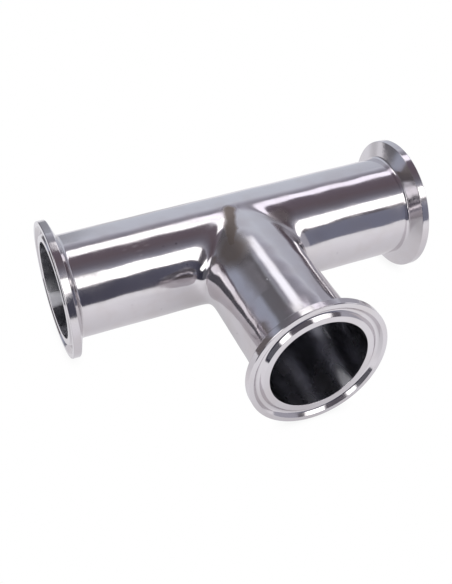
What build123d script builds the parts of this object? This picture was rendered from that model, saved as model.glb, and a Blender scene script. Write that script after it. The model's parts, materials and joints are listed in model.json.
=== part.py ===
from build123d import *
from math import radians, tan
import os

# Equal tee with three hygienic clamp ends, in polished stainless steel tube.
#
# A short weld tee is cold formed from one tube, and a turned clamp ferrule is butt welded to each of its
# three ends. Sizes are in millimetres. The origin is where the run's axis crosses the branch's axis. The run
# lies along X, the branch points along -Y, and Z is square to both.

# Tube and overall size
tube_od = 38.0
wall = 1.2
centre_to_face = 70.0

# Clamp ferrule
ferrule_length = 21.5
flange_od = 50.5
rim_width = 2.85
back_taper = 20.0
neck_fillet = 1.2
rim_edge_radius = 0.3
groove_diameter = 43.5
groove_radius = 1.6
groove_depth = 1.35

# Formed junction of the run and the branch, measured on the outside of the tube
crotch_radius = 5.0

# Butt weld, ground flush on both sides. It is widest on the outside, where the torch was.
weld_width_outside = 3.2
weld_width_inside = 1.8
cutter_margin = 0.5

outer_radius = tube_od / 2
bore_radius = outer_radius - wall
flange_radius = flange_od / 2
weld_station = centre_to_face - ferrule_length

# A port's plane stands at its weld's centreline, with its Z axis out of the port
ports = {
    "left": Plane(origin=(-weld_station, 0, 0), x_dir=(0, 0, 1), z_dir=(-1, 0, 0)),
    "right": Plane(origin=(weld_station, 0, 0), x_dir=(0, 0, 1), z_dir=(1, 0, 0)),
    "branch": Plane(origin=(0, -weld_station, 0), x_dir=(0, 0, 1), z_dir=(0, -1, 0)),
}


def profile_plane(port):
    """Where a port's ring profiles are drawn: X is the radius, and Y runs out of the port from the weld."""
    return Plane(origin=port.origin, x_dir=port.x_dir, z_dir=port.x_dir.cross(port.z_dir))


def port_axis(port):
    return Axis(port.origin, port.z_dir)


def weld_half_width(radius):
    """Half the weld's width at a radius: its sides slope straight from the outside to the inside."""
    share = (radius - bore_radius) / wall
    return (weld_width_inside + share * (weld_width_outside - weld_width_inside)) / 2


def make_tee_solid(radius, half_length, blend):
    """Run and branch cylinders of one radius, their crossing blended by a rolling ball."""
    with BuildPart() as tee:
        with BuildSketch(Plane.YZ):
            Circle(radius)
        extrude(amount=half_length, both=True)
        with BuildSketch(Plane.XZ):
            Circle(radius)
        extrude(amount=half_length)
        fillet(tee.edges().filter_by(GeomType.ELLIPSE), radius=blend)
    return tee.part


def make_weld(port, margin=0.0):
    """The fused ring through the wall. With a margin it reaches past both surfaces, as a cutter."""
    inside = bore_radius - margin
    outside = outer_radius + margin
    with BuildPart() as weld:
        with BuildSketch(profile_plane(port)):
            with BuildLine():
                Polyline(
                    (inside, -weld_half_width(inside)),
                    (outside, -weld_half_width(outside)),
                    (outside, weld_half_width(outside)),
                    (inside, weld_half_width(inside)),
                    close=True,
                )
            make_face()
        revolve(axis=port_axis(port))
    return weld.part


def make_ferrule(port):
    """A turned weld ferrule: a short tube end, a flange with a tapered back for the clamp's jaws, and a
    flat sealing face with a round-bottomed ring groove for the gasket's bead."""
    face = ferrule_length
    rim_back = face - rim_width
    neck = (outer_radius, rim_back - (flange_radius - outer_radius) * tan(radians(back_taper)))
    with BuildPart() as ferrule:
        with BuildSketch(profile_plane(port)) as profile:
            with BuildLine():
                Polyline(
                    (bore_radius, weld_half_width(bore_radius)),
                    (bore_radius, face),
                    (flange_radius, face),
                    (flange_radius, rim_back),
                    neck,
                    (outer_radius, weld_half_width(outer_radius)),
                    close=True,
                )
            make_face()
            fillet(profile.vertices().group_by(Axis.X)[-1], radius=rim_edge_radius)
            fillet(profile.vertices().sort_by_distance(neck)[0], radius=neck_fillet)
            with Locations((groove_diameter / 2, face + groove_radius - groove_depth)):
                Circle(groove_radius, mode=Mode.SUBTRACT)
        revolve(axis=port_axis(port))
    return ferrule.part


def make_tee_body():
    """The formed tube: one wall all over, with its three ends sloped to meet the welds."""
    with BuildPart() as tee_body:
        add(make_tee_solid(outer_radius, weld_station, crotch_radius))
        waterway = make_tee_solid(bore_radius, weld_station + cutter_margin, crotch_radius + wall)
        add(waterway, mode=Mode.SUBTRACT)
        for port in ports.values():
            add(make_weld(port, cutter_margin), mode=Mode.SUBTRACT)
    return tee_body.part


pieces = {"tee_body": make_tee_body()}
for name, port in ports.items():
    pieces[f"{name}_ferrule"] = make_ferrule(port)
    pieces[f"{name}_weld"] = make_weld(port)

os.makedirs("parts", exist_ok=True)
for name, piece in pieces.items():
    piece.label = name
    export_step(piece, f"parts/{name}.step")
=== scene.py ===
"""A polished stainless tee with three clamp ferrules, standing in a small light box."""
import json
from math import cos, pi, radians, sin, sqrt, tan

import bpy
import numpy as np
from mathutils import Matrix, Vector


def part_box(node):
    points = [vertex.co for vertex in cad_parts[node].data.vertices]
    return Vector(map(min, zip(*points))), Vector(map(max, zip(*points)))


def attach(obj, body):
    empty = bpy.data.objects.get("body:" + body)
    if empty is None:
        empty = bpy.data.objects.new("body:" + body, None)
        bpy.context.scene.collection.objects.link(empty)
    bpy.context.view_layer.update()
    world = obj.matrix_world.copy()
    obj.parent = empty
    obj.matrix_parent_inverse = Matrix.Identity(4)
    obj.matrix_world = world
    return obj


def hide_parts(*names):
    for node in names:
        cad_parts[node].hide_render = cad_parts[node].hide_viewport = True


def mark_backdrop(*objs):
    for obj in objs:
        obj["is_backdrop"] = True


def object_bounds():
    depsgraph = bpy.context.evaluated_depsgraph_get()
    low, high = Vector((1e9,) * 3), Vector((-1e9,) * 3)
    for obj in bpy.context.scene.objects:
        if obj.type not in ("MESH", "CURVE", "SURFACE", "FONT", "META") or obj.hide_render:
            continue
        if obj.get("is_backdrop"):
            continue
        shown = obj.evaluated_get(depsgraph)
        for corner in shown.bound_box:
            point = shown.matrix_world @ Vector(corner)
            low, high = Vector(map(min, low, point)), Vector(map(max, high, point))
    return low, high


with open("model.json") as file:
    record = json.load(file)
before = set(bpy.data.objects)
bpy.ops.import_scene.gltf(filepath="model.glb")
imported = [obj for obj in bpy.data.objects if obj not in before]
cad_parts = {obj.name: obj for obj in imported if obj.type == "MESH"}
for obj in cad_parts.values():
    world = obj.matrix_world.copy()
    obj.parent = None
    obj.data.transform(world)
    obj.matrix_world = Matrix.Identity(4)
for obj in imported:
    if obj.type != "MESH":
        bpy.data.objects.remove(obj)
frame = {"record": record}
cad_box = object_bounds()

MM = 0.001
BODY = "root"
PORTS = ("left", "right", "branch")

# ---------------------------------------------------------------- sizes, from the frame where it has them
mounts = {mount["name"]: mount["dims"] for mount in frame["record"]["mounts"]}
WALL = 1.2 * MM
BORE = mounts["run_bore"]["r_mm"] * MM
TUBE = BORE + WALL
FLANGE = mounts["left_rim"]["r_mm"] * MM
FACE = cad_box[1].x
FLOOR = cad_box[0].z
weld_near, weld_far = (corner.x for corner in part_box("right_weld"))
STATION = (weld_near + weld_far) / 2                       # a weld's centreline, from the axes' crossing
WELD_OUTSIDE = weld_far - STATION                          # half its width at the tube's outside
WELD_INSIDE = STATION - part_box("tee_body")[1].x            # and at the bore

RIM_WIDTH = 2.85 * MM
BACK_TAPER = radians(20)
NECK_FILLET = 1.2 * MM
RIM_EDGE = 0.3 * MM
GROOVE_AT = 21.75 * MM
GROOVE_HALF_WIDTH = 1.72 * MM
GROOVE_DEPTH = 1.45 * MM
GROOVE_WALL = 51               # how far each side wall turns from the face, in degrees
GROOVE_EDGE = 0.12 * MM
BORE_EDGE = 0.15 * MM

# The formed crotch: how far its blend reaches, how fast that shrinks towards the tee's top, and to what
BLEND_OUTSIDE = 8.0 * MM
BLEND_INSIDE = 10.5 * MM
BLEND_SHRINK = 1.4
BLEND_LEAST = 0.4 * MM
# Forming leaves the branch a little narrower at its root, where it sinks into the run
ROOT_DIP = 0.35 * MM
ROOT_LENGTH = 26 * MM
ROOT_SINK = 5 * MM
ROOT_SINK_RADIUS = 30 * MM
ROOT_END = 8 * MM              # behind the axes' crossing there is only the run

# ---------------------------------------------------------------- mesh resolution
ROUND = 240                    # segments round a tube
RUN_STEPS = 26                 # along the straight part of a chain, from port to crotch
CROTCH_STEPS = 16
WELD_STEPS = 4
NECK_STEPS = 12                # along a ferrule's tube, outside
FERRULE_BORE_STEPS = 14
ARC_STEP = radians(9)          # a turned corner has a segment every this much
MERGE = 1e-5 * MM              # points this near each other are one
SETTLE_ROUNDS = 6              # how often a point is moved towards the skin
SLOPE_STEP = 0.001 * MM        # the distance over which the skin's slope is measured
RUN_EASE = 1.25                # above 1, the rings stand closer together towards the crotch

# ---------------------------------------------------------------- hand polishing
WAVE_COUNT = 14
WAVE_SLOPE = 0.0048            # each wave's steepest slope
WAVE_LENGTHS = (7 * MM, 26 * MM)
WAVE_END = 62.5 * MM           # the waves fade out before the flange's neck
WAVE_FADE = 5 * MM


def make_waves():
    """The polishing's shallow waves, as (amplitude, wave vector, phase)."""
    random = np.random.default_rng(7)
    waves = []
    for length in np.geomspace(*WAVE_LENGTHS, WAVE_COUNT):
        direction = random.normal(size=3)
        vector = direction / np.linalg.norm(direction) * 2 * pi / length
        waves.append((WAVE_SLOPE * length / (2 * pi), vector, random.uniform(0, 2 * pi)))
    return waves


WAVES = make_waves()


def wave_height(points):
    """How far the polished skin stands off its nominal surface."""
    height = sum(size * np.sin(points @ vector + phase) for size, vector, phase in WAVES)
    out = np.maximum(np.abs(points[..., 0]), -points[..., 1])
    fade = np.clip((WAVE_END - out) / WAVE_FADE, 0, 1)
    return height * fade * fade * (3 - 2 * fade)


def skin_gap(points, radius, blend):
    """How far points lie outside the formed tube's skin of that radius: run and branch, smoothly joined."""
    x, y, z = np.moveaxis(points, -1, 0)
    front = np.clip(-y, 0, None)
    root = np.clip(front / ROOT_LENGTH, 0, 1)
    sink = np.clip(y + ROOT_SINK, 0, None)
    dip = ROOT_DIP * (1 - root * root * (3 - 2 * root)) + sink * sink / (2 * ROOT_SINK_RADIUS)
    run = np.hypot(y, z) - radius
    branch = np.where(y < ROOT_END, np.hypot(x, z) - radius + dip, 1.0)
    width = BLEND_LEAST + blend * (np.sqrt(np.abs(x) * front) / radius) ** BLEND_SHRINK
    near = np.clip(1 - np.abs(run - branch) / width, 0, 1)
    return np.minimum(run, branch) - width * near ** 3 / 6 - wave_height(points)


def settle(points, radius, blend):
    """Moves points onto the skin, and gives the skin's normals there."""
    for _ in range(SETTLE_ROUNDS):
        slopes = [skin_gap(points + way, radius, blend) - skin_gap(points - way, radius, blend)
                  for way in np.eye(3) * SLOPE_STEP]
        normals = np.stack(slopes, -1)
        normals /= np.linalg.norm(normals, axis=-1, keepdims=True)
        points = points - skin_gap(points, radius, blend)[..., None] * normals
    return points, normals


# ---------------------------------------------------------------- meshes from patches of points and normals
def make_mesh(name, patches):
    """One watertight mesh from grids of (points, normals). Shared points are merged, normals stay per patch.

    A patch in the bore has a third value, True, and takes the mesh's second material.
    """
    places = np.concatenate([patch[0].reshape(-1, 3) for patch in patches])
    _, first, merged = np.unique(np.round(places / MERGE).astype(np.int64), axis=0,
                                 return_index=True, return_inverse=True)
    points = places[first]
    merged = merged.ravel()
    faces, normals, slots, start = [], [], [], 0
    for grid, grid_normals, *in_bore in patches:
        rows, columns = grid.shape[:2]
        ids = merged[start:start + rows * columns].reshape(rows, columns)
        start += rows * columns
        corners = [(slice(0, -1), slice(0, -1)), (slice(1, None), slice(0, -1)),
                   (slice(1, None), slice(1, None)), (slice(0, -1), slice(1, None))]
        quads = np.stack([ids[corner].ravel() for corner in corners], 1)
        quad_normals = np.stack([grid_normals[corner].reshape(-1, 3) for corner in corners], 1)
        diagonals = (points[quads[:, 2]] - points[quads[:, 0]], points[quads[:, 3]] - points[quads[:, 1]])
        across = np.cross(*diagonals)
        backward = (across * quad_normals.sum(1)).sum(1) < 0
        quads[backward] = quads[backward, ::-1]
        quad_normals[backward] = quad_normals[backward, ::-1]
        for quad, corner_normals in zip(quads.tolist(), quad_normals):
            kept = [i for i in range(4) if quad[i] != quad[i - 1]]
            if len(kept) >= 3:
                faces.append([quad[i] for i in kept])
                normals.extend(corner_normals[kept])
                slots.append(int(bool(in_bore)))
    mesh = bpy.data.meshes.new(name)
    mesh.from_pydata(points, [], faces)
    mesh.polygons.foreach_set("use_smooth", [True] * len(faces))
    mesh.polygons.foreach_set("material_index", slots)
    mesh.normals_split_custom_set(normals)
    return mesh


def port_frame(port):
    """A port's directions: out of the port, and two across it, the second one up."""
    out = {"left": (-1, 0, 0), "right": (1, 0, 0), "branch": (0, -1, 0)}[port]
    side = (1, 0, 0) if port == "branch" else (0, -1, 0)
    return np.array(out, float), np.array(side, float), np.array((0.0, 0.0, 1.0))


TURNS = np.linspace(-pi / 2, 3 * pi / 2, ROUND + 1)


def revolve(port, outline, outline_normals=None):
    """Turns (radius, distance out of the port) points, and their normals, round a port's axis."""
    out, side, up = port_frame(port)
    spokes = np.cos(TURNS)[:, None] * side + np.sin(TURNS)[:, None] * up

    def turn(pairs):
        return pairs[None, :, :1] * spokes[:, None, :] + pairs[None, :, 1:] * out

    outline = np.array(outline)
    if outline_normals is None:
        return turn(outline)
    return turn(outline), turn(np.array(outline_normals))


def tube_patch(port, radius, blend, near, far, steps):
    """A stretch of polished tube skin at a port, outside or in the bore."""
    outline = [(radius, out) for out in np.linspace(near, far, steps + 1)]
    points, normals = settle(revolve(port, outline), radius, blend)
    return (points, normals) if radius == TUBE else (points, -normals, True)


def weld_edge(side):
    """Where a weld's sloping side meets the outside and the bore. Side -1 is the body's, 1 the ferrule's."""
    return STATION + side * WELD_OUTSIDE, STATION + side * WELD_INSIDE


def slope_patch(port, side, facing):
    """The hidden sloping face between a weld and its neighbour. Facing 1 looks out of the port."""
    outside, inside = weld_edge(side)
    edge = [tube_patch(port, TUBE, BLEND_OUTSIDE, outside, outside, 1)[0][:, 0],
            tube_patch(port, BORE, BLEND_INSIDE, inside, inside, 1)[0][:, 0]]
    points = np.stack(edge, 1)
    slope = (inside - outside) / WALL
    size = facing / sqrt(1 + slope * slope)
    _, normals = revolve(port, [(0, 0)] * 2, [(slope * size, size)] * 2)
    return points, normals


def tee_chain(turn, radius, blend, end):
    """Right front line of the skin at one angle: in along the run, round the crotch, out along the branch."""
    across, height = radius * cos(turn), radius * sin(turn)
    crotch = sqrt(max(across, 0) * (max(across, 0) + 2 * blend * max(cos(turn), 0) ** (BLEND_SHRINK - 1)))
    rounding = crotch - across
    ease = np.linspace(0, 1, RUN_STEPS + 1) ** RUN_EASE
    straight = crotch + (end - crotch) * ease
    run = [(x, -across, height) for x in straight[::-1]]
    arc = [(crotch - rounding * cos(a), -crotch + rounding * sin(a), height)
           for a in np.linspace(pi / 2, 0, CROTCH_STEPS + 1)[1:-1]]
    branch = [(across, -y, height) for y in straight]
    return run + arc + branch


def tee_skin(radius, blend, end):
    """The formed tube's skin, outside or inside, as patches."""
    half = TURNS[:ROUND // 2 + 1]
    right = np.array([tee_chain(turn, radius, blend, end) for turn in half])
    line = right[-1, :RUN_STEPS + 1, 0]
    line = np.concatenate([line, -line[-2::-1]])
    back = np.array([[(x, radius * cos(turn), radius * sin(turn)) for x in line] for turn in half])
    patches = [settle(grid, radius, blend) for grid in (right, right * (-1, 1, 1), back)]
    return patches if radius == TUBE else [(points, -normals, True) for points, normals in patches]


def make_tee():
    outside, inside = weld_edge(-1)
    patches = tee_skin(TUBE, BLEND_OUTSIDE, outside) + tee_skin(BORE, BLEND_INSIDE, inside)
    patches += [slope_patch(port, -1, 1) for port in PORTS]
    return make_mesh("formed_tee", patches)


def make_weld(port):
    near, far = weld_edge(-1), weld_edge(1)
    return make_mesh(f"{port}_butt_weld", [
        tube_patch(port, TUBE, BLEND_OUTSIDE, near[0], far[0], WELD_STEPS),
        tube_patch(port, BORE, BLEND_INSIDE, near[1], far[1], WELD_STEPS),
        slope_patch(port, -1, -1),
        slope_patch(port, 1, 1),
    ])


def arc(centre, radius, start, end, hollow=False):
    """A turned corner: points and outward normals as the normal swings from start to end, in degrees."""
    count = max(4, round(abs(radians(end - start)) / ARC_STEP))
    swing = np.radians(np.linspace(start, end, count + 1))
    normals = np.stack([np.cos(swing), np.sin(swing)], -1)
    return np.array(centre) + (-radius if hollow else radius) * normals, normals


def ferrule_outline():
    """The turned part of a ferrule, from its neck over the flange, face and groove into the bore."""
    rim_back = FACE - RIM_WIDTH
    neck = rim_back - (FLANGE - TUBE) * tan(BACK_TAPER)
    corner = (1 - sin(BACK_TAPER)) / cos(BACK_TAPER)
    back = -90 + np.degrees(BACK_TAPER)
    wall = radians(GROOVE_WALL)
    bottom = (GROOVE_HALF_WIDTH * tan(wall) - GROOVE_DEPTH) / (1 / cos(wall) - 1)
    reach = GROOVE_HALF_WIDTH + GROOVE_EDGE * tan(wall / 2)
    edge_height = FACE - GROOVE_EDGE
    return [
        arc((TUBE + NECK_FILLET, neck - NECK_FILLET * corner), NECK_FILLET, 0, back, hollow=True),
        arc((FLANGE - RIM_EDGE, rim_back + RIM_EDGE * corner), RIM_EDGE, back, 0),
        arc((FLANGE - RIM_EDGE, FACE - RIM_EDGE), RIM_EDGE, 0, 90),
        arc((GROOVE_AT + reach, edge_height), GROOVE_EDGE, 90, 90 + GROOVE_WALL),
        arc((GROOVE_AT, FACE - GROOVE_DEPTH + bottom), bottom, 90 + GROOVE_WALL, 90 - GROOVE_WALL,
            hollow=True),
        arc((GROOVE_AT - reach, edge_height), GROOVE_EDGE, 90 - GROOVE_WALL, 90),
        arc((BORE + BORE_EDGE, FACE - BORE_EDGE), BORE_EDGE, 90, 180),
    ]


def make_ferrule(port):
    corners = ferrule_outline()
    outline = np.concatenate([points for points, _ in corners])
    outline_normals = np.concatenate([normals for _, normals in corners])
    outside, inside = weld_edge(1)
    return make_mesh(f"{port}_clamp_ferrule", [
        tube_patch(port, TUBE, BLEND_OUTSIDE, outside, outline[0][1], NECK_STEPS),
        revolve(port, outline, outline_normals),
        tube_patch(port, BORE, BLEND_INSIDE, inside, outline[-1][1], FERRULE_BORE_STEPS),
        slope_patch(port, 1, -1),
    ])


# ---------------------------------------------------------------- materials
def add(tree, kind, **settings):
    """A shader node, with its properties and its unlinked inputs set by name."""
    node = tree.nodes.new(kind)
    for key, value in settings.items():
        if hasattr(node, key):
            setattr(node, key, value)
        else:
            node.inputs[key.replace("_", " ")].default_value = value
    return node


def new_material(name):
    material = bpy.data.materials.new(name)
    material.use_nodes = True
    material.node_tree.nodes.clear()
    return material, material.node_tree


def ramp(tree, value, low, high, to_low, to_high):
    """Maps a value from one range to another, smoothly and clamped."""
    node = add(tree, "ShaderNodeMapRange", interpolation_type="SMOOTHSTEP")
    for socket, number in zip(node.inputs[1:5], (low, high, to_low, to_high)):
        socket.default_value = number
    tree.links.new(value, node.inputs[0])
    return node.outputs[0]


def noise(tree, position, size, detail=3.0, roughness=0.5):
    """Noise whose blobs are about that size."""
    node = add(tree, "ShaderNodeTexNoise", Scale=1 / size, Detail=detail, Roughness=roughness)
    tree.links.new(position, node.inputs["Vector"])
    return node.outputs[0]


def vector_math(tree, operation, first, second):
    node = add(tree, "ShaderNodeVectorMath", operation=operation)
    for socket, value in zip(node.inputs, (first, second)):
        if isinstance(value, tuple):
            socket.default_value = value
        else:
            tree.links.new(value, socket)
    return node.outputs


CORE = 0.3                     # the share of a mask's reach over which it is full


def spot(port, out, turn, radius=TUBE):
    """The point on a port's tube so many millimetres out, turned up from the port's side by degrees."""
    outward, side, up = port_frame(port)
    point = outward * out * MM + radius * (cos(radians(turn)) * side + sin(radians(turn)) * up)
    return tuple(point.tolist())


def fade_out(tree, distance, reach):
    """One within a mask's core, and nothing from reach millimetres away."""
    return ramp(tree, distance, reach * CORE * MM, reach * MM, 1, 0)


def closeness(tree, place, centre, reach, axes):
    """One round a point, and nothing from reach millimetres away, with distance weighted along each axis."""
    offset = vector_math(tree, "SUBTRACT", place, centre)["Vector"]
    weighted = vector_math(tree, "MULTIPLY", offset, axes)["Vector"]
    return fade_out(tree, vector_math(tree, "LENGTH", weighted, (0, 0, 0))["Value"], reach)


def streak(tree, place, start, end, reach):
    """One along the line between two points, and nothing from reach millimetres away."""
    line = Vector(end) - Vector(start)
    offset = vector_math(tree, "SUBTRACT", place, start)["Vector"]
    share = vector_math(tree, "DOT_PRODUCT", offset, tuple(line / line.length_squared))["Value"]
    along = add(tree, "ShaderNodeMath", operation="MULTIPLY", use_clamp=True)
    tree.links.new(share, along.inputs[0])
    along.inputs[1].default_value = 1
    nearest = vector_math(tree, "MULTIPLY", along.outputs[0], tuple(line))["Vector"]
    apart = vector_math(tree, "SUBTRACT", offset, nearest)["Vector"]
    return fade_out(tree, vector_math(tree, "LENGTH", apart, (0, 0, 0))["Value"], reach)


def strongest(tree, masks):
    """The highest of several masks."""
    result = masks[0]
    for mask in masks[1:]:
        node = add(tree, "ShaderNodeMath", operation="MAXIMUM")
        tree.links.new(result, node.inputs[0])
        tree.links.new(mask, node.inputs[1])
        result = node.outputs[0]
    return result


def times(tree, mask, factor):
    """A mask times a number or another mask."""
    node = add(tree, "ShaderNodeMath", operation="MULTIPLY")
    tree.links.new(mask, node.inputs[0])
    if isinstance(factor, (int, float)):
        node.inputs[1].default_value = factor
    else:
        tree.links.new(factor, node.inputs[1])
    return node.outputs[0]


def marks(tree, place, rows):
    """The strongest of several marks, each a spot, its reach, its axis weights and its strength."""
    masks = [times(tree, closeness(tree, place, *row), strength) for *row, strength in rows]
    return strongest(tree, masks)


def blend_colours(tree, factor, first, second):
    node = tree.nodes.new("ShaderNodeMix")
    node.data_type = "RGBA"
    tree.links.new(factor, node.inputs[0])
    for socket, colour in ((node.inputs[6], first), (node.inputs[7], second)):
        if isinstance(colour, tuple):
            socket.default_value = (*colour, 1)
        else:
            tree.links.new(colour, socket)
    return node.outputs[2]


STEEL = (0.66, 0.635, 0.655)
STEEL_WARM = (0.61, 0.565, 0.56)
PIT = (0.20, 0.18, 0.18)
BORE_STEEL = (0.50, 0.50, 0.53)
BORE_STAIN = (0.34, 0.33, 0.34)
# The colour of real scuffs on the tube, and of the painted highlight streaks in the bores
SCUFF_AND_HIGHLIGHT_BRIGHT = (0.95, 0.95, 0.97)
POLISHED = (0.09, 0.15)        # lowest and highest roughness
BORE_POLISHED = (0.20, 0.30)

# Cloudy noise mottles the steel: where in the noise stain starts and ends, its most, and where haze does
CLOUD_SIZE = 9 * MM
STAIN_FROM, STAIN_TO, STAIN_MOST = 0.40, 0.66, 0.35
HAZE_FROM, HAZE_TO = 0.35, 0.70

# The fine dents that the buff leaves, and the finer grain over them
DENT_SIZE = 4.0 * MM
DENT_DEPTH = 0.024 * MM
BORE_DENT_DEPTH = 0.004 * MM
GRAIN_SIZE = 0.45 * MM
GRAIN_DEPTH = 0.004 * MM
GRAIN_STRENGTH = 0.25

# Small pits, one to a cell of noise: the cells' size, and a pit's dark core and whole reach as shares of it
PIT_SPACING = 7 * MM
PIT_CORE, PIT_REACH = 0.02, 0.05

# Brown, rougher patches that darken the tube round the crotch: a spot, reach, axis weights, strength
TINT = (0.25, 0.21, 0.185)
TINT_ROUGHNESS = 0.52
TINT_PATCHES = (
    (spot("branch", 22, 123), 9.5, (1.0, 0.75, 1.0), 0.90),
    (spot("right", 13, 56), 5.5, (0.7, 1.0, 1.0), 0.60),
)
TINT_STREAK = (spot("left", 3, 82), spot("branch", 19, 119), 2.8)           # from, to, reach
# Hazier steel down the branch's left, as from a coarser buff: from, to, reach
HAZE_STREAK = (spot("branch", 30, 123), spot("branch", 62, 125), 5.5)
HAZE_ROUGHNESS = 0.27
RAGGED = 4 * MM                # how far noise shifts the edges of tint and haze
RAGGED_SIZE = 6 * MM

# Small marks in the polish: a spot, reach, axis weights, strength
TUBE_SCUFFS = (
    (spot("left", 45, 63), 0.5, (0.4, 1, 1), 0.25),
    (spot("left", 41, 64), 0.6, (0.3, 1, 1), 0.30),
    (spot("left", 37, 62), 0.5, (0.3, 1, 1), 0.28),
    (spot("left", 40, 58), 0.5, (0.3, 1, 1), 0.25),
    (spot("left", 40, 53), 0.4, (0.5, 1, 1), 0.35),
    (spot("branch", 43, 111), 0.45, (1, 0.8, 1), 0.45),
    (spot("branch", 44, 109), 0.4, (1, 0.8, 1), 0.30),
)
# Scuffs along the bores: rough patches that scatter light, coloured brighter than the bore as a painted
# highlight where light streaks along the wall: a spot, reach, axis weights, strength
BORE_SCUFFS_AND_HIGHLIGHTS = (
    (spot("branch", 71, -49, BORE), 3.9, (1, 0.24, 1), 1.0),
    (spot("branch", 48, -34, BORE), 0.8, (1, 0.15, 1), 0.9),
    (spot("branch", 71, -93, BORE), 3.6, (1, 0.30, 1), 0.5),
    (spot("left", 71, -129, BORE), 4.6, (0.30, 1, 1), 1.0),
    (spot("left", 71, -84, BORE), 3.6, (0.25, 1, 1), 0.6),
)
SCUFF_ROUGHNESS = 0.65


def ragged(tree, place):
    """The place, shifted by noise, so that a mask built on it has ragged edges."""
    node = add(tree, "ShaderNodeTexNoise", Scale=1 / RAGGED_SIZE, Detail=4.0)
    tree.links.new(place, node.inputs["Vector"])
    shift = vector_math(tree, "SUBTRACT", node.outputs["Color"], (0.5, 0.5, 0.5))["Vector"]
    shift = vector_math(tree, "MULTIPLY", shift, (RAGGED, RAGGED, RAGGED))["Vector"]
    return vector_math(tree, "ADD", place, shift)["Vector"]


def relief(tree, place, dent_depth):
    """The bump of the buff's dents with the grain over them."""
    dents = add(tree, "ShaderNodeBump", Strength=1.0, Distance=dent_depth)
    tree.links.new(noise(tree, place, DENT_SIZE, detail=4, roughness=0.6), dents.inputs["Height"])
    grain = add(tree, "ShaderNodeBump", Strength=GRAIN_STRENGTH, Distance=GRAIN_DEPTH)
    tree.links.new(noise(tree, place, GRAIN_SIZE, detail=2), grain.inputs["Height"])
    tree.links.new(dents.outputs[0], grain.inputs["Normal"])
    return grain.outputs[0]


def steel(name, roughness, colour=STEEL, stain=STEEL_WARM, dent_depth=DENT_DEPTH, formed=False, scuffs_and_highlights=()):
    """Hand-polished stainless steel. On the formed tube it is pitted, browned round the crotch and hazed too.
    """
    material, tree = new_material(name)
    place = add(tree, "ShaderNodeTexCoord").outputs["Object"]
    shader = add(tree, "ShaderNodeBsdfPrincipled", Metallic=1.0)
    output = tree.nodes.new("ShaderNodeOutputMaterial")
    tree.links.new(shader.outputs[0], output.inputs[0])

    cloud = noise(tree, place, CLOUD_SIZE, detail=4)
    stained = ramp(tree, cloud, STAIN_FROM, STAIN_TO, 0, STAIN_MOST)
    colour = blend_colours(tree, stained, colour, stain)
    rough = ramp(tree, cloud, HAZE_FROM, HAZE_TO, *roughness)
    if formed:
        shifted = ragged(tree, place)
        tint = strongest(tree, [marks(tree, shifted, TINT_PATCHES), streak(tree, shifted, *TINT_STREAK)])
        colour = blend_colours(tree, tint, colour, TINT)
        tint_rough = times(tree, tint, TINT_ROUGHNESS)
        haze_rough = times(tree, streak(tree, shifted, *HAZE_STREAK), HAZE_ROUGHNESS)
        rough = strongest(tree, [rough, tint_rough, haze_rough])
    # Brighter, rougher marks: real scuffs on the tube; in the bore their brighter colour is also a painted
    # highlight
    if scuffs_and_highlights:
        scuff_and_highlight = marks(tree, place, scuffs_and_highlights)
        colour = blend_colours(tree, scuff_and_highlight, colour, SCUFF_AND_HIGHLIGHT_BRIGHT)
        rough = strongest(tree, [rough, times(tree, scuff_and_highlight, SCUFF_ROUGHNESS)])
    if formed:
        spots = add(tree, "ShaderNodeTexVoronoi", Scale=1 / PIT_SPACING, Randomness=1.0)
        tree.links.new(place, spots.inputs["Vector"])
        pit = ramp(tree, spots.outputs["Distance"], PIT_CORE, PIT_REACH, 1, 0)
        colour = blend_colours(tree, pit, colour, PIT)
    tree.links.new(colour, shader.inputs["Base Color"])
    tree.links.new(rough, shader.inputs["Roughness"])
    tree.links.new(relief(tree, place, dent_depth), shader.inputs["Normal"])
    return material


# ---------------------------------------------------------------- stage
def glow(name, colour_of):
    """An emissive card's material. colour_of gives a colour, or builds one from the place on the card."""
    material, tree = new_material(name)
    place = add(tree, "ShaderNodeTexCoord").outputs["Object"]
    light = tree.nodes.new("ShaderNodeEmission")
    output = tree.nodes.new("ShaderNodeOutputMaterial")
    colour = colour_of(tree, place)
    if isinstance(colour, tuple):
        light.inputs[0].default_value = (*colour, 1)
    else:
        tree.links.new(colour, light.inputs[0])
    tree.links.new(light.outputs[0], output.inputs[0])
    return material


def card(name, corners, material):
    """A flat card of the light box. Only mirror reflections see it, never the camera."""
    mesh = bpy.data.meshes.new(name)
    mesh.from_pydata([Vector(corner) * MM for corner in corners], [], [(0, 1, 2, 3)])
    mesh.materials.append(material)
    plane = bpy.data.objects.new(name, mesh)
    bpy.context.scene.collection.objects.link(plane)
    plane.visible_camera = False
    plane.visible_shadow = False
    plane.visible_diffuse = False
    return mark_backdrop(plane)


def part_of(tree, place, axis):
    node = tree.nodes.new("ShaderNodeSeparateXYZ")
    tree.links.new(place, node.inputs[0])
    return node.outputs["XYZ".index(axis)]


def bands(tree, value, stops):
    """A colour that runs through the stops, which are (place in millimetres, red, green, blue)."""
    low, high = stops[0][0], stops[-1][0]
    span = add(tree, "ShaderNodeMapRange")
    span.inputs[1].default_value = low * MM
    span.inputs[2].default_value = high * MM
    tree.links.new(value, span.inputs[0])
    node = tree.nodes.new("ShaderNodeValToRGB")
    elements = node.color_ramp.elements
    while len(elements) < len(stops):
        elements.new(0.5)
    for element, (place, *colour) in zip(elements, stops):
        element.position = (place - low) / (high - low)
        element.color = (*colour, 1)
    tree.links.new(span.outputs[0], node.inputs[0])
    return node.outputs[0]


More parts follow.
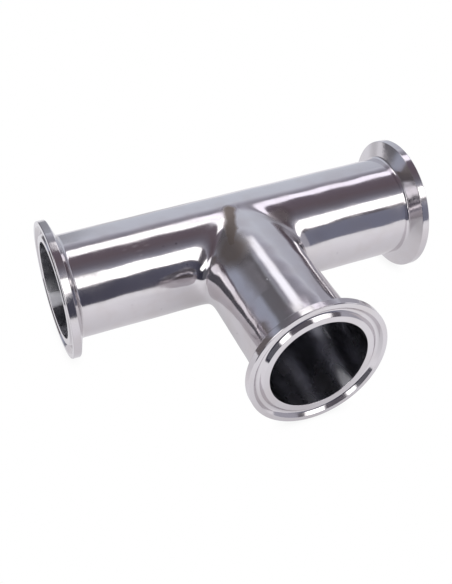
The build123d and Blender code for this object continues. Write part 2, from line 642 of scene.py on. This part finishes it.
# The light box, in millimetres from the axes' crossing. Colours are linear, and 1 is the white floor.
BOX_X = (-330, 330)
BOX_Y = (-420, 262)
BOX_TOP = 230
BOX_OPENING = -156             # in front of this the ceiling is open to a higher one
HIGH_TOP = 1500
HIGH_SIZE = 6000
HIGH_CEILING = (0.13, 0.12, 0.14)
BOX_FLOOR = FLOOR / MM - 0.5
FLOOR_EDGE = -202              # where the pale floor ends in front, on the centreline
FLOOR_EDGE_SLOPE = 0.3         # and how much nearer the front it ends for each step to the right

# Colours along an axis: the place, then red, green and blue
# The floor's glow darkens from 1 far in front to about 0.76 near the fitting: the fitting's own shadow,
# painted into it
FLOOR_AND_SHADOW_BANDS = ((-110, 1.00, 1.00, 1.03), (-60, 0.93, 0.92, 0.96), (-20, 0.76, 0.75, 0.78),
               (40, 0.82, 0.82, 0.85), (120, 0.90, 0.90, 0.94))
FLOOR_SHADE = 0.74             # the floor's share of light under the branch
CEILING_BANDS = ((-156, 0.50, 0.50, 0.57), (-128, 0.28, 0.28, 0.33), (-85, 0.17, 0.155, 0.185),
                 (-34, 0.155, 0.125, 0.145), (33, 0.165, 0.135, 0.165), (120, 0.30, 0.28, 0.33),
                 (164, 0.33, 0.33, 0.38), (200, 0.50, 0.50, 0.58), (250, 0.70, 0.73, 0.80))
BACK_BANDS = ((-330, 0.40, 0.43, 0.52), (-262, 0.40, 0.43, 0.52), (-200, 0.18, 0.18, 0.20),
              (-60, 0.16, 0.155, 0.17), (0, 0.68, 0.72, 0.80), (150, 0.70, 0.74, 0.82),
              (330, 0.52, 0.53, 0.60))
FRONT_BANDS = ((-100, 0.04, 0.04, 0.06), (60, 0.11, 0.11, 0.15), (220, 0.22, 0.23, 0.30))
LEFT_BANDS = ((-90, 0.14, 0.14, 0.16), (225, 0.17, 0.15, 0.15), (248, 0.42, 0.43, 0.52))
RIGHT_COLOUR = (0.46, 0.46, 0.52)

# Where one look turns into another: the floor's front edge, the branch's shade and the ceiling's back left
FLOOR_EDGE_SOFT = 8
SHADE_X = (8, 45)
SHADE_Y = (-110, -60)
CEILING_BACK_Y = (108, 126)
CEILING_LEFT_X = (-45, -20)

# The lamps: their X range, Y range, height, how far their edges fade each way, and colour
LAMPS = {
    "front": ((215, 1300), (-2480, -1040), 1490, 45, (2.4, 2.4, 2.4)),
    "near_right": ((66, 182), (-97, -56), 70, 3, (2.4, 2.4, 2.4)),
    "near_left": ((-118, -55), (-225, -56), 70, 3, (2.4, 2.4, 2.4)),
    "beside_run": ((-175, -84), (-92, -6), 70, 3, (1.60, 1.60, 1.65)),
    "back_left": ((-36, 66), (36, 112), 229, 9, (2.1, 2.1, 2.1)),
    "back_right": ((50, 230), (67, 127), 229, 9, (1.50, 1.45, 1.60)),
    "corner": ((98, 124), (110, 134), 229, 8, (1.50, 1.45, 1.60)),
    "middle": ((-4.8, 4.2), (-42, 2), 40, 2.5, (1.42, 1.44, 1.52)),
}


def cross_fade(tree, value, between, at_low, at_high):
    """A ramp between two places in millimetres."""
    low, high = between
    return ramp(tree, value, low * MM, high * MM, at_low, at_high)


def floor_colour(tree, place):
    x, y = part_of(tree, place, "X"), part_of(tree, place, "Y")
    sloped = add(tree, "ShaderNodeMath", operation="MULTIPLY_ADD")
    tree.links.new(x, sloped.inputs[0])
    sloped.inputs[1].default_value = FLOOR_EDGE_SLOPE
    tree.links.new(y, sloped.inputs[2])
    edge_span = (FLOOR_EDGE - FLOOR_EDGE_SOFT, FLOOR_EDGE + FLOOR_EDGE_SOFT)
    edge = cross_fade(tree, sloped.outputs[0], edge_span, 0, 1)
    beside = add(tree, "ShaderNodeMath", operation="ABSOLUTE")
    tree.links.new(x, beside.inputs[0])
    # Painted shadow: the floor's glow is darker near the fitting, and darker again under the branch
    pale = bands(tree, y, FLOOR_AND_SHADOW_BANDS)
    shaded = add(tree, "ShaderNodeVectorMath", operation="SCALE")
    tree.links.new(pale, shaded.inputs[0])
    tree.links.new(cross_fade(tree, beside.outputs[0], SHADE_X, FLOOR_SHADE, 1), shaded.inputs["Scale"])
    near = blend_colours(tree, cross_fade(tree, y, SHADE_Y, 0, 1), pale, shaded.outputs[0])
    return blend_colours(tree, edge, bands(tree, x, FRONT_BANDS), near)


def ceiling_colour(tree, place):
    x, y = part_of(tree, place, "X"), part_of(tree, place, "Y")
    behind = cross_fade(tree, y, CEILING_BACK_Y, 0, 1)
    left = cross_fade(tree, x, CEILING_LEFT_X, 1, 0)
    back_left = times(tree, behind, left)
    return blend_colours(tree, back_left, bands(tree, y, CEILING_BANDS), bands(tree, x, BACK_BANDS))


def lamp_glow(name, xs, ys, soft, colour):
    """A lamp's glow, which fades to nothing at its edges."""
    material, tree = new_material(name)
    place = add(tree, "ShaderNodeTexCoord").outputs["Object"]
    mask = None
    for axis, (low, high) in (("X", xs), ("Y", ys)):
        value = part_of(tree, place, axis)
        for edge, at_low, at_high in ((low, 0, 1), (high, 1, 0)):
            fade = cross_fade(tree, value, (edge - soft, edge + soft), at_low, at_high)
            mask = times(tree, mask, fade) if mask else fade
    light = tree.nodes.new("ShaderNodeEmission")
    light.inputs[0].default_value = (*colour, 1)
    clear = tree.nodes.new("ShaderNodeBsdfTransparent")
    mix = tree.nodes.new("ShaderNodeMixShader")
    output = tree.nodes.new("ShaderNodeOutputMaterial")
    for source, target in ((mask, mix.inputs[0]), (clear.outputs[0], mix.inputs[1]),
                           (light.outputs[0], mix.inputs[2]), (mix.outputs[0], output.inputs[0])):
        tree.links.new(source, target)
    return material


def banded(axis, stops):
    """What glow needs for a card whose colours run along one axis."""
    return lambda tree, place: bands(tree, part_of(tree, place, axis), stops)


def flat(xs, ys, height):
    """The corners of a level rectangle."""
    return [(xs[0], ys[0], height), (xs[1], ys[0], height), (xs[1], ys[1], height), (xs[0], ys[1], height)]


def make_light_box():
    (left, right), (front, back), low, top = BOX_X, BOX_Y, BOX_FLOOR, BOX_TOP
    card("box_floor", flat(BOX_X, BOX_Y, low), glow("floor_glow", floor_colour))
    card("box_ceiling", flat(BOX_X, (BOX_OPENING, back), top), glow("ceiling_glow", ceiling_colour))
    reach = (-HIGH_SIZE, HIGH_SIZE)
    card("high_ceiling", flat(reach, reach, HIGH_TOP),
         glow("high_ceiling_glow", lambda tree, place: HIGH_CEILING))
    for name, y, stops in (("back", back, BACK_BANDS), ("front", front, FRONT_BANDS)):
        card(f"box_{name}", [(left, y, low), (right, y, low), (right, y, top), (left, y, top)],
             glow(f"{name}_glow", banded("X", stops)))
    card("box_left", [(left, front, low), (left, back, low), (left, back, top), (left, front, top)],
         glow("left_glow", banded("Y", LEFT_BANDS)))
    card("box_right", [(right, front, low), (right, back, low), (right, back, top), (right, front, top)],
         glow("right_glow", lambda tree, place: RIGHT_COLOUR))
    for name, (xs, ys, height, soft, colour) in LAMPS.items():
        xs_lit, ys_lit = ((start - soft, end + soft) for start, end in (xs, ys))
        card(f"lamp_{name}", flat(xs_lit, ys_lit, height),
             lamp_glow(f"lamp_{name}_glow", xs, ys, soft, colour))


FLOOR_SIZE = 6.0               # half the floor's side, in metres
CONTACT_REACH = 5 * MM
CONTACT_FROM, CONTACT_TO = 0.2, 0.9      # how open to the sky the floor's shade starts and ends
CONTACT_SHADE = 0.90


def make_floor():
    """The plain white floor that the camera sees, faintly shaded where the flanges touch it."""
    mesh = bpy.data.meshes.new("floor")
    reach = (-FLOOR_SIZE, FLOOR_SIZE)
    mesh.from_pydata(flat(reach, reach, FLOOR), [], [(0, 1, 2, 3)])
    floor = bpy.data.objects.new("floor", mesh)
    bpy.context.scene.collection.objects.link(floor)
    material, tree = new_material("white_floor")
    contact = add(tree, "ShaderNodeAmbientOcclusion", samples=16, Distance=CONTACT_REACH)
    shade = ramp(tree, contact.outputs["AO"], CONTACT_FROM, CONTACT_TO, CONTACT_SHADE, 1.0)
    light = add(tree, "ShaderNodeEmission")
    tree.links.new(shade, light.inputs["Strength"])
    light.inputs["Color"].default_value = (1, 1, 1, 1)
    output = tree.nodes.new("ShaderNodeOutputMaterial")
    tree.links.new(light.outputs[0], output.inputs[0])
    mesh.materials.append(material)
    floor.visible_glossy = False
    floor.visible_diffuse = False
    floor.visible_shadow = False
    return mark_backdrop(floor)


def make_backdrop():
    world = bpy.data.worlds.new("backdrop")
    world.use_nodes = True
    world.node_tree.nodes["Background"].inputs["Color"].default_value = (1, 1, 1, 1)
    bpy.context.scene.world = world


# ---------------------------------------------------------------- camera
AZIMUTH = radians(-23.0)
ELEVATION = radians(40.64)
DISTANCE = 338.3 * MM
AIM_RIGHT = -3.0 * MM
AIM_UP = -18.3 * MM
LENS = 55.05


def make_camera():
    back = Vector((sin(AZIMUTH) * cos(ELEVATION), -cos(AZIMUTH) * cos(ELEVATION), sin(ELEVATION)))
    right = Vector((cos(AZIMUTH), sin(AZIMUTH), 0))
    up = back.cross(right)
    data = bpy.data.cameras.new("camera")
    data.lens = LENS
    data.clip_start = 0.01
    data.clip_end = 50
    camera = bpy.data.objects.new("camera", data)
    bpy.context.scene.collection.objects.link(camera)
    turn = Matrix((right, up, back)).transposed().to_4x4()
    camera.matrix_world = Matrix.Translation(DISTANCE * back + AIM_RIGHT * right + AIM_UP * up) @ turn
    bpy.context.scene.camera = camera


# ---------------------------------------------------------------- the fitting
def add_piece(mesh, node, outside, inside):
    """Shows a finished mesh in place of its CAD node, with one material outside and one in its bore."""
    mesh.materials.append(outside)
    mesh.materials.append(inside)
    piece = bpy.data.objects.new(mesh.name, mesh)
    bpy.context.scene.collection.objects.link(piece)
    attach(piece, BODY)
    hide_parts(node)
    return piece


def make_fitting():
    tube_steel = steel("polished_tube", POLISHED, formed=True, scuffs_and_highlights=TUBE_SCUFFS)
    ferrule_steel = steel("turned_steel", POLISHED)
    weld_steel = steel("ground_steel", POLISHED)
    bore_steel = steel("bore_steel", BORE_POLISHED, BORE_STEEL, BORE_STAIN, BORE_DENT_DEPTH,
                       scuffs_and_highlights=BORE_SCUFFS_AND_HIGHLIGHTS)
    add_piece(make_tee(), "tee_body", tube_steel, bore_steel)
    for port in PORTS:
        add_piece(make_ferrule(port), f"{port}_ferrule", ferrule_steel, bore_steel)
        add_piece(make_weld(port), f"{port}_weld", weld_steel, bore_steel)


make_fitting()
make_light_box()
make_floor()
make_backdrop()
make_camera()
bpy.context.scene.view_settings.view_transform = "Standard"
